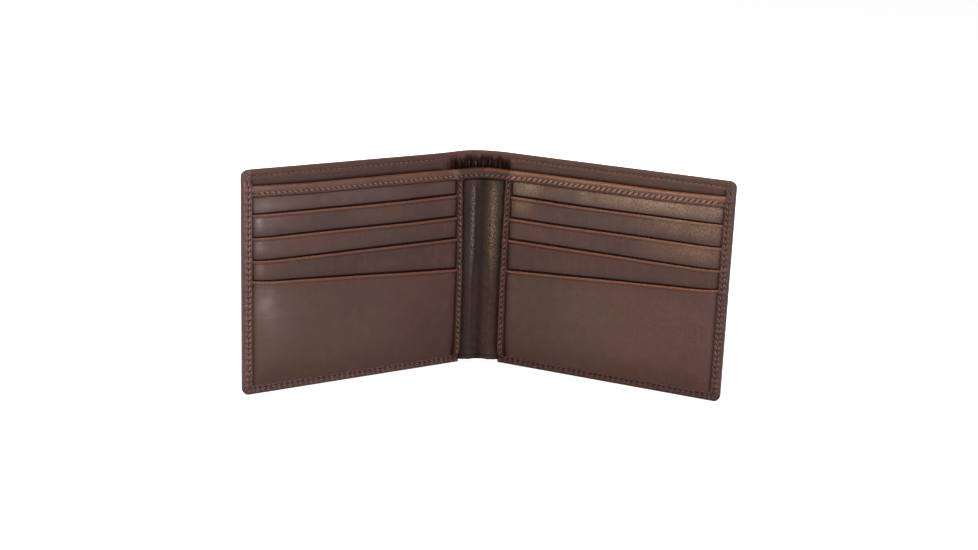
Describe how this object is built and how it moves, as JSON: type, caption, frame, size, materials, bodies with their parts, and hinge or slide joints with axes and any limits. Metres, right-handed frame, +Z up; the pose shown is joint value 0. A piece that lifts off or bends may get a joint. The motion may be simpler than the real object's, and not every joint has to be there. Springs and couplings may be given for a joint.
{
  "type": "bifold wallet",
  "caption": "Leather bifold wallet with stepped card slots on both sides and a full-length note compartment, folding at a soft spine.",
  "frame": {"origin": "left fold line at the bottom edge, in the middle of the cover leather", "axes": "+Z up along the fold lines, -X along the left half towards its outer edge, -Y towards the inside; the right half is turned 56.7 degrees from the left half's plane"},
  "size_m": [0.1682, 0.0928, 0.09],
  "materials": {
    "cover_leather": "smooth waxed, satin",
    "inner_leather": "smooth waxed, satin",
    "pocket_leather": "smooth waxed, satin",
    "trim_leather": "smooth waxed, satin, creased",
    "lining_fabric": "fine dark twill",
    "board": "bonded leather board",
    "thread": "waxed sewing thread"
  },
  "bodies": {
    "left_half": {"left_binding_thread": "thread", "left_border_thread": "thread", "left_bottom_seam": "cover_leather", "left_card_pocket_1": "pocket_leather", "left_card_pocket_2": "pocket_leather", "left_card_pocket_3": "pocket_leather", "left_cover_stiffener": "board", "left_cover_top_thread": "thread", "left_divider_panel": "inner_leather", "left_edge_border": "trim_leather", "left_front_pocket": "pocket_leather", "left_note_facing": "inner_leather", "left_note_lining": "lining_fabric", "left_outer_cover": "cover_leather", "left_outer_side_seam": "cover_leather", "left_pocket_backing": "inner_leather", "left_pocket_bottom_seams": "pocket_leather", "left_pocket_lining_1": "lining_fabric", "left_pocket_lining_2": "lining_fabric", "left_pocket_lining_3": "lining_fabric", "left_spine_side_trim": "trim_leather", "left_top_binding": "trim_leather", "left_trim_thread": "thread"},
    "spine": {"cover_spine": "cover_leather", "inner_spine_panel": "inner_leather", "spine_binding": "trim_leather", "spine_binding_thread": "thread", "spine_facing_thread": "thread", "spine_gathered_facing": "inner_leather", "spine_lining": "lining_fabric"},
    "right_half": {"right_binding_thread": "thread", "right_border_thread": "thread", "right_bottom_seam": "cover_leather", "right_card_pocket_1": "pocket_leather", "right_card_pocket_2": "pocket_leather", "right_card_pocket_3": "pocket_leather", "right_cover_stiffener": "board", "right_cover_top_thread": "thread", "right_divider_panel": "inner_leather", "right_edge_border": "trim_leather", "right_front_pocket": "pocket_leather", "right_note_facing": "inner_leather", "right_note_lining": "lining_fabric", "right_outer_cover": "cover_leather", "right_outer_side_seam": "cover_leather", "right_pocket_backing": "inner_leather", "right_pocket_bottom_seams": "pocket_leather", "right_pocket_lining_1": "lining_fabric", "right_pocket_lining_2": "lining_fabric", "right_pocket_lining_3": "lining_fabric", "right_spine_side_trim": "trim_leather", "right_top_binding": "trim_leather", "right_trim_thread": "thread"}
  },
  "joints": [
    {"name": "left_fold", "type": "hinge", "parent": "left_half", "child": "spine", "pos_m": [0, 0, 0.045], "axis": [0, 0, -1], "range_deg": [-28.35, 61.65]},
    {"name": "right_fold", "type": "hinge", "parent": "spine", "child": "right_half", "pos_m": [0.0132, -0.00712, 0.045], "axis": [0, 0, -1], "range_deg": [-28.35, 61.65]}
  ],
  "couplings": [
    {"joint": "right_fold", "follows": "left_fold", "ratio": 1}
  ]
}
